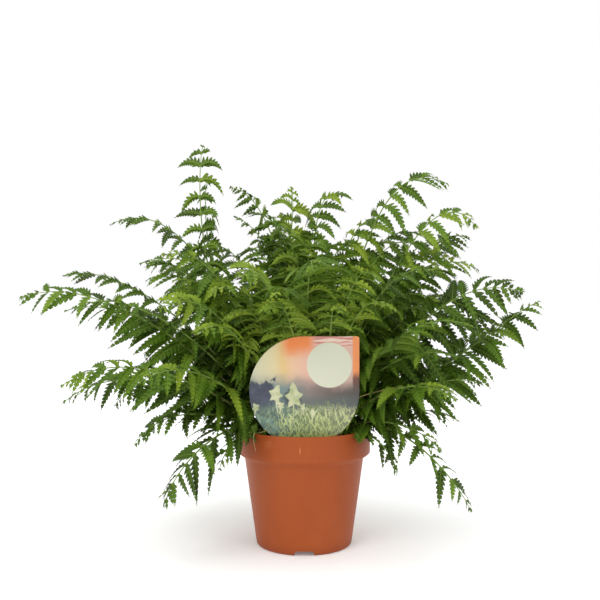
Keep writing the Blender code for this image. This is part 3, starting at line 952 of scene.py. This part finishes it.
def bark_finish(name, dark, pale):
    def build(tree):
        lot = tree.attribute("lot")
        grain = tree.noise(260.0, detail=4.0)
        colour = tree.blend((grain * 0.7 + lot * 0.5 - 0.1).clamped(), rgba(dark), rgba(pale))
        return principled(tree, colour, 0.85, tree.bump(grain, 0.5, 0.001), specular_ior_level=0.3)

    return finish(name, build)


def scatter_tree(name, upright):
    """Copies of a bit spread over the base's upper faces, standing on them or leaning outward."""
    inputs = [("Bit", "Object", None), ("Count", "Int", 100), ("Smallest", "Float", 0.001)]
    inputs += [("Largest", "Float", 0.003), ("Seed", "Int", 3), ("Finish", "Material", None)]
    group, tree, given = geometry_tree(name, inputs)
    seed = given["Seed"]
    upper = tree.parts(tree.node("GeometryNodeInputNormal")[0])[2] > 0.4
    values = {0: given["Base"], 1: upper, 2: tree.node("GeometryNodeInputMeshFaceArea")[0]}
    area = tree.node("GeometryNodeAttributeStatistic", {"domain": "FACE"}, values)["Sum"]
    values = {0: given["Base"], 1: upper, 4: given["Count"] / area, 6: seed}
    settings = {"distribute_method": "RANDOM"}
    spots = tree.node("GeometryNodeDistributePointsOnFaces", settings, values)
    points = keep(tree, spots[0], "lot", random_number(tree, 0.0, 1.0, seed + 5.0))
    values = {0: (-1, -1, -1), 1: (1, 1, 1), 8: seed + 9.0}
    whirl = tree.node("FunctionNodeRandomValue", {"data_type": "FLOAT_VECTOR"}, values)[0]
    if upright:
        outward = tree.vector("MULTIPLY", position(tree), (1, 1, 0))
        lean = tree.total((outward, 22.0), ((0, 0, 1), 1.1), (whirl, 0.40))
    else:
        lean = tree.total((spots[1], 1.0), (whirl, 0.5))
    turn = aimed(tree, "Z", lean, "X", whirl)
    size = random_number(tree, given["Smallest"], given["Largest"], seed + 2.0)
    bits = copies(tree, points, shape_of(tree, given["Bit"]), Rotation=turn, Scale=size)
    end_tree(tree, bits, given["Finish"])
    return group


def crumb_shape():
    made = bmesh.new()
    bmesh.ops.create_icosphere(made, subdivisions=1, radius=0.5)
    draw = random.Random(4)
    for corner in made.verts:
        corner.co *= draw.uniform(0.7, 1.15)
        corner.co.z *= 0.6
    mesh = bpy.data.meshes.new("crumb")
    made.to_mesh(mesh)
    made.free()
    return mesh


def scale_shape():
    """A narrow pointed scale along Z, closed, with its foot at the origin."""
    points = [(0.16, 0, 0), (0, 0.06, 0), (-0.16, 0, 0), (0, -0.06, 0)]
    points += [(0.13, 0.03, 0.5), (0, 0.09, 0.5), (-0.13, 0.03, 0.5), (0, -0.02, 0.5)]
    points.append((0, 0.10, 1.0))
    faces = [(3, 2, 1, 0)]
    faces += [(i, (i + 1) % 4, 4 + (i + 1) % 4, 4 + i) for i in range(4)]
    faces += [(4 + i, 4 + (i + 1) % 4, 8) for i in range(4)]
    return mesh_of("scale", points, faces, smooth=False)


def scattered(name, bed, shape, upright, **inputs):
    """A new piece: copies of a shape spread over the bed."""
    bit = add_object(shape.name, shape)
    bits = add_object(name, bed.data.copy())
    bits.data.materials.clear()
    grow(bits, scatter_tree(f"{name}_scatter", upright), Bit=bit, **inputs)
    bpy.data.objects.remove(bit)
    return bits


def roughen(obj, low, height, scale):
    """Lifts and lowers what lies above this height with noise."""
    for corner in obj.data.vertices:
        if corner.co.z > low:
            spot = corner.co * scale
            lift = noise.fractal(spot, 0.9, 2.1, 4) * 0.6 + noise.noise(spot * 2.7) * 0.4
            corner.co.z += height * lift


class FERN_OT_soil(bpy.types.Operator):
    """Fills the pot with crumbly soil and scatters loose bits on it"""

    bl_idname = "fern.soil"
    bl_label = "Fill in the soil"

    def execute(self, context):
        settings = context.scene.fern_soil
        edge = SOIL_HIGH.x
        level = SOIL_HIGH.z
        foot = FOOT_RADIUS - SOIL_SETBACK
        profile = [(0, SOIL_LOW.z), (foot, SOIL_LOW.z), (edge - 0.0065, level - 0.0150)]
        profile += [(edge, level - 0.0098), (edge, level - 0.0032)]
        rings = 40
        for ring in range(rings):
            radius = edge * (1 - (ring + 0.4) / rings)
            profile.append((radius, level - 0.0022 * (radius / edge) ** 3))
        profile.append((0, level))
        soil = add_object("soil_bed", turned("soil_bed", profile, 144))
        roughen(soil, level - 0.003, settings.crumb, 190)
        soil.data.materials.append(soil_finish())
        bark = bark_finish("bark_bits", "24170e", "7a5a3c")
        inputs = {"Count": settings.bits, "Smallest": 0.0010, "Largest": 0.0036, "Seed": 3}
        bits = scattered("soil_bits", soil, crumb_shape(), False, Finish=bark, **inputs)
        place_piece(soil, "potting_soil")
        place_piece(bits, "potting_soil")
        return {"FINISHED"}


STRAWS = (  # four points of each dry stalk, from its foot
    (
        (-0.0500, -0.0330, 0.1010), (-0.0512, -0.0385, 0.1130),
        (-0.0520, -0.0400, 0.1200), (-0.0514, -0.0405, 0.1262),
    ),
    (
        (-0.0490, -0.0380, 0.1085), (-0.0430, -0.0470, 0.1148),
        (-0.0385, -0.0500, 0.1165), (-0.0330, -0.0520, 0.1188),
    ),
    (
        (-0.0440, -0.0400, 0.1100), (-0.0462, -0.0462, 0.1150),
        (-0.0472, -0.0490, 0.1100), (-0.0450, -0.0506, 0.0985),
    ),
    (
        (0.0200, -0.0400, 0.1010), (0.0340, -0.0440, 0.1380),
        (0.0560, -0.0470, 0.1500), (0.0912, -0.0500, 0.1595),
    ),
)


def straw_tree():
    """A thin dry stalk along each chain of the base, thinner at its end."""
    inputs = [("Radius", "Float", 0.0005), ("Finish", "Material", None)]
    group, tree, given = geometry_tree("dry_stalks", inputs)
    girth = given["Radius"] * (1.1 - tree.node("GeometryNodeSplineParameter")[0] * 0.7)
    tube = swept(tree, smooth_curve(tree, given["Base"], 20), circle(tree, 6), girth)
    end_tree(tree, tube, given["Finish"])
    return group


class FERN_OT_straws(bpy.types.Operator):
    """Lays the few dry stalks at the rim and behind the label"""

    bl_idname = "fern.straws"
    bl_label = "Lay the dry stalks"

    def execute(self, context):
        mesh = bpy.data.meshes.new("dry_stalks")
        points = [point for straw in STRAWS for point in straw]
        links = [(i, i + 1) for low in range(0, len(points), 4) for i in range(low, low + 3)]
        mesh.from_pydata(points, links, [])
        stalks = add_object("dry_stalks", mesh)
        straw = bark_finish("dry_straw", "a8894e", "e4d6a4")
        grow(stalks, straw_tree(), Radius=context.scene.fern_soil.straw, Finish=straw)
        place_piece(stalks, "potting_soil")
        return {"FINISHED"}


class FERN_OT_crown(bpy.types.Operator):
    """Covers the crown with brown scales and the stubs of old stalks"""

    bl_idname = "fern.crown"
    bl_label = "Dress the crown"

    def execute(self, context):
        settings = context.scene.fern_soil
        radius, height = CROWN_HIGH.x, CROWN_HIGH.z - CROWN_LOW.z
        profile = [(0, CROWN_LOW.z)]
        profile += [(radius * x, CROWN_LOW.z + height * y) for x, y in arc((0, 0), 0.99, 0, 88, 26)]
        profile.append((0, CROWN_LOW.z + height * 0.99))
        dome = add_object("crown_dome", turned("crown_dome", profile, 96))
        roughen(dome, CROWN_LOW.z + 0.001, 0.0012, 260)
        scaly = bark_finish("crown_scales", "1f130b", "6e4c2c")
        dome.data.materials.append(scaly)
        inputs = {"Count": settings.scales, "Smallest": 0.004, "Largest": 0.011, "Seed": 8}
        scales = scattered("crown_scales", dome, scale_shape(), True, Finish=scaly, **inputs)
        place_piece(dome, "crown")
        place_piece(scales, "crown")
        return {"FINISHED"}


# Label


class LabelSettings(bpy.types.PropertyGroup):
    thickness: metres("Thickness", "Of the card", 0.0006)
    glow: tint("Glow", "Orange band of the printed sky", "ec8238")


# The print is placed in radii of the label's head, from its middle.
DISC = (0.456, 0.478, 0.405)  # across, up and radius
PRINTED_LEAVES = (  # across, up, radius and tilt
    (-0.19, -0.12, 0.27, 0.08), (-0.52, -0.08, 0.21, -0.30), (-0.88, -0.31, 0.11, 0.5),
    (-0.03, -0.30, 0.09, -0.4), (-0.42, -0.27, 0.10, 0.5), (0.16, -0.40, 0.09, 0.3),
)


def label_finish(settings):
    """A gloss card: sunset sky, far hills, dark trees, pale leaves and grasses, a plain disc."""
    def build(tree):
        x, y, z = tree.parts(tree.place())
        u, v = x / LABEL_RADIUS, (z - LABEL_MIDDLE) / LABEL_RADIUS
        soft = tree.noise(30.0, detail=4.0) - 0.5
        fine = tree.noise(150.0, detail=4.0) - 0.5
        stops = [(0.0, "c9c9ab"), (0.22, "d6c79a"), (0.30, "dcba7c"), (0.40, "e0b896")]
        stops += [(0.62, "dba79b"), (1.0, "cfae9e")]
        sky = tree.colours((u + soft * 0.25) * 0.5 + 0.5, stops)
        high = (v + soft * 0.35).ramp(0.55, 0.88)
        band = high * (u + 0.50).ramp(0.0, 0.25) * (1.0 - (u - 0.02).ramp(0.0, 0.28))
        sky = tree.blend(band, sky, (*settings.glow, 1))
        streak = (v + soft * 0.1).ramp(0.76, 0.86) * (u + soft * 0.1).ramp(0.12, 0.24)
        stripes = tree.noise(1.0, detail=3.0, at=tree.stretched((30, 1, 420)))
        striped = tree.blend(stripes.ramp(0.42, 0.58), rgba("c98176"), rgba("e7cdbb"))
        sky = tree.blend(streak, sky, striped)
        haze = 1.0 - (v + soft * 0.3).ramp(-0.05, 0.45)
        misty = tree.colours(u * 0.5 + 0.5, [(0.0, "a7a892"), (0.45, "a38f88"), (1.0, "8e7a74")])
        sky = tree.blend(haze * 0.75, sky, misty)
        edge = (u + fine * 0.04).ramp(0.86, 0.90)
        border = tree.blend((v + fine * 0.2).ramp(0.22, 0.36), rgba("6f3f2e"), rgba("e58a4c"))
        sky = tree.blend(edge, sky, border)

        hills = 1.0 - (v + soft * 0.55 + (u - 0.2).size() * 0.05).ramp(0.0, 0.36)
        stops = [(0.0, "4c5660"), (0.22, "66807c"), (0.38, "6c7a76"), (0.55, "7a6c66")]
        stops += [(0.75, "5c5048"), (1.0, "4a4440")]
        ground = tree.colours((u + soft * 0.2) * 0.5 + 0.5, stops)
        scene = tree.blend(hills, sky, ground)
        low = 1.0 - (v + soft * 0.25).ramp(-0.20, 0.0)
        scene = tree.blend(low * 0.7, scene, rgba("4c5a58"))
        away = (u + 0.22).size() / 0.24 + (v + 0.16 + fine * 0.5).size() / 0.30
        scene = tree.blend((1.0 - away.ramp(0.6, 0.9)) * 0.9, scene, rgba("333d42"))
        wood = 1.0 - (u + soft * 0.45 + fine * 0.3).ramp(-0.62, -0.56)
        wood = wood * (1.0 - (v + fine * 0.5 + soft * 0.2).ramp(0.15, 0.20))
        wood = wood * (v + soft * 0.3).ramp(-0.34, -0.26)
        slate = tree.blend(fine.ramp(-0.1, 0.2), rgba("2f3546"), rgba("434a5c"))
        scene = tree.blend(wood, scene, slate)

        def wisps(lean):
            at = combined(tree, u * 22.0 + v * lean, lean, v * 5.0 - u * lean * 0.3)
            return tree.noise(1.0, detail=3.0, at=at)

        strokes = wisps(13.0).most(wisps(-13.0)).most(wisps(3.0))
        rise = v + soft * 0.5 + (strokes - 0.6) * 0.9 + (u - 0.35).size() * 0.12
        turf = 1.0 - rise.ramp(-0.30, -0.22)
        stops = [(0.0, "3f5550"), (0.30, "526b5c"), (0.48, "627448"), (0.68, "6c7850")]
        floor = tree.colours((u + soft * 0.5) * 0.5 + 0.5, [*stops, (1.0, "6c6e5a")])
        pale = tree.blend((v + soft * 0.6).ramp(-0.75, -0.15), rgba("bcc878"), rgba("c4c79c"))
        strands = tree.blend(strokes.ramp(0.50, 0.64) * 0.85, floor, pale)
        scene = tree.blend(turf, scene, strands)
        shade = 1.0 - (u + soft * 0.5).ramp(-0.70, -0.35)
        shade = shade * (1.0 - (v + soft * 0.4).ramp(-0.45, -0.25))
        teal = tree.blend(fine.ramp(-0.1, 0.2), rgba("33504c"), rgba("6d8f80"))
        scene = tree.blend(shade * 0.7, scene, teal)

        def leaf(across, up, radius, tilt):
            a, b = u - across + fine * 0.03, v - up
            angle = a.angle_from(b) + tilt
            lobes = 1.0 - (angle * 2.5).sine().size()
            reach = (lobes * 0.42 + 0.40 + (angle * 0.5).cosine() * 0.25) * radius
            away = (a * a * 2.6 + b * b) ** 0.5
            stem = 1.0 - ((a - b * tilt * 0.4).size() / 0.012).ramp(0.7, 1.0)
            stem = stem * (b < 0.0) * (b > -radius * 1.5)
            return (1.0 - (away - reach).ramp(-0.008, 0.012)).most(stem)

        leaves = leaf(*PRINTED_LEAVES[0])
        for one in PRINTED_LEAVES[1:]:
            leaves = leaves.most(leaf(*one))
        pale = tree.blend((fine * 2.0 + 0.5).clamped(), rgba("8f9c66"), rgba("d0ceaa"))
        scene = tree.blend(leaves, scene, pale)

        away = tree.vector("LENGTH", combined(tree, u - DISC[0], v - DISC[1], 0.0))
        scene = tree.blend(1.0 - away.ramp(DISC[2], DISC[2] + 0.013), scene, rgba("cfcfb9"))
        front = 1.0 - (y - LABEL_LOW.y).ramp(0.0001, 0.0002)
        colour = tree.blend(front, rgba("dcdacb"), scene)
        rough = 0.34 + fine * 0.05
        return principled(tree, colour, rough, specular_ior_level=0.5, coat_weight=0.15)

    return finish("printed_card", build)


def label_outline():
    """The round head with one square corner, and the pointed stake, in X and Z."""
    right, top = LABEL_RADIUS, LABEL_HIGH.z
    centre, half, point = (0.0, LABEL_MIDDLE), 0.006, 0.010
    neck = math.degrees(math.asin(half / LABEL_RADIUS))
    outline = [(right - 0.0012, top - 0.0003), (right - 0.0020, top)]
    outline += arc(centre, LABEL_RADIUS, 90, 270 - neck, 96)
    outline += [(-half, LABEL_LOW.z + point), (0, LABEL_LOW.z), (half, LABEL_LOW.z + point)]
    outline += arc(centre, LABEL_RADIUS, 270 + neck, 360, 48)
    return [*outline, (right, top - 0.0020), (right - 0.0003, top - 0.0012)]


class FERN_OT_label(bpy.types.Operator):
    """Cuts the round-headed plant label with its square corner and pointed stake, and prints it"""

    bl_idname = "fern.label"
    bl_label = "Make the label"

    def execute(self, context):
        settings = context.scene.fern_label
        outline = label_outline()
        count = len(outline)
        soften = settings.thickness * 0.3
        layers = [(0.0, soften), (soften, 0.0)]
        layers += [(settings.thickness - depth, inset) for depth, inset in reversed(layers)]
        rows = []
        for depth, inset in layers:
            for index, (x, z) in enumerate(outline):
                before, after = Vector(outline[index - 1]), Vector(outline[(index + 1) % count])
                run = (after - before).normalized()
                rows.append((x - run.y * inset, LABEL_LOW.y + depth, z + run.x * inset))
        faces = [tuple(range(count)), tuple(reversed(range(3 * count, 4 * count)))]
        for low in range(0, 3 * count, count):
            for i, after in zip(range(count), [*range(1, count), 0]):
                faces.append((low + i, low + count + i, low + count + after, low + after))
        label = add_object("printed_label", mesh_of("printed_label", rows, faces))
        face_outward(label.data, split=True)
        label.data.set_sharp_from_angle(angle=math.radians(30))
        label.data.materials.append(label_finish(settings))
        place_piece(label, "plant_label")
        return {"FINISHED"}


# Studio


class StageSettings(bpy.types.PropertyGroup):
    distance: metres("Camera distance", "From the pot's axis", 0.80)
    height: metres("Camera height", "Above the floor", 0.2386)
    lens: amount("Lens", "Focal length in millimetres", 48.6)


FLOOR_REACH = 60.0
PLANT_MIDDLE = Vector((0, 0, 0.2))


def area_light(name, location, size, power):
    """A square soft light that looks at the plant."""
    lamp = bpy.data.lights.new(name, "AREA")
    lamp.shape = "SQUARE"
    lamp.size = size
    lamp.energy = power
    obj = add_object(name, lamp)
    obj.location = location
    obj.rotation_euler = (PLANT_MIDDLE - Vector(location)).to_track_quat("-Z", "Y").to_euler()


class FERN_OT_stage(bpy.types.Operator):
    """Sets the pale floor, the soft lights, the surroundings and the camera"""

    bl_idname = "fern.stage"
    bl_label = "Set the studio"

    def execute(self, context):
        settings = context.scene.fern_stage
        scene = context.scene
        reach = FLOOR_REACH
        corners = [(-reach, -reach, 0), (reach, -reach, 0), (reach, reach, 0), (-reach, reach, 0)]
        floor = add_object("paper_sweep", mesh_of("paper_sweep", corners, [(0, 1, 2, 3)]))

        def paper(tree):
            return principled(
                tree, rgba("f8f8f8"), 0.9, specular_ior_level=0.1,
                emission_color=(1.0, 1.0, 1.0, 1.0), emission_strength=0.13,
            )

        floor.data.materials.append(finish("white_paper", paper))
        floor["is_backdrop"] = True
        world = bpy.data.worlds.new("studio")
        world.use_nodes = True
        sky = world.node_tree.nodes["Background"].inputs
        sky["Color"].default_value, sky["Strength"].default_value = (1.0, 1.0, 1.0, 1.0), 1.0
        scene.world = world
        area_light("key", (-1.0, -1.6, 2.0), 1.2, 20)
        area_light("fill", (1.6, -1.5, 1.0), 1.4, 4)
        area_light("top", (0.0, 0.2, 2.4), 2.4, 16)
        scene.view_settings.view_transform = "Standard"
        lens = bpy.data.cameras.new("camera")
        lens.lens = settings.lens
        lens.sensor_width = 36.0
        lens.clip_start = 0.01
        camera = add_object("camera", lens)
        camera.location = (-0.004, -settings.distance, settings.height)
        camera.rotation_euler = (math.pi / 2, 0, 0)
        scene.camera = camera
        return {"FINISHED"}


class FERN_PT_panel(bpy.types.Panel):
    """Lists the pieces and their settings"""

    bl_idname = "FERN_PT_panel"
    bl_label = "Potted Fern"
    bl_space_type = "VIEW_3D"
    bl_region_type = "UI"
    bl_category = "Fern"

    def draw(self, context):
        for operator, group in STEPS:
            box = self.layout.box()
            box.operator(operator.bl_idname)
            settings = getattr(context.scene, group)
            for name in settings.__annotations__:
                box.prop(settings, name)


GROUPS = {
    "fern_fronds": FrondSettings,
    "fern_pot": PotSettings,
    "fern_soil": SoilSettings,
    "fern_label": LabelSettings,
    "fern_stage": StageSettings,
}
STEPS = (
    (FERN_OT_stage, "fern_stage"),
    (FERN_OT_pot, "fern_pot"),
    (FERN_OT_soil, "fern_soil"),
    (FERN_OT_crown, "fern_soil"),
    (FERN_OT_straws, "fern_soil"),
    (FERN_OT_label, "fern_label"),
    (FERN_OT_fronds, "fern_fronds"),
)
CLASSES = (*GROUPS.values(), *(operator for operator, _ in STEPS), FERN_PT_panel)


def register():
    for made in CLASSES:
        bpy.utils.register_class(made)
    for name, made in GROUPS.items():
        setattr(bpy.types.Scene, name, PointerProperty(type=made))


def unregister():
    for name in GROUPS:
        delattr(bpy.types.Scene, name)
    for made in reversed(CLASSES):
        bpy.utils.unregister_class(made)


def main():
    register()
    bpy.ops.fern.stage()
    bpy.ops.fern.pot()
    bpy.ops.fern.soil()
    bpy.ops.fern.crown()
    bpy.ops.fern.straws()
    bpy.ops.fern.label()
    bpy.ops.fern.fronds()
    sizes = {"model": MODEL_BOX, "visual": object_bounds()}
    plain = {name: [list(corner) for corner in box] for name, box in sizes.items()}


if __name__ == "__main__":
    main()
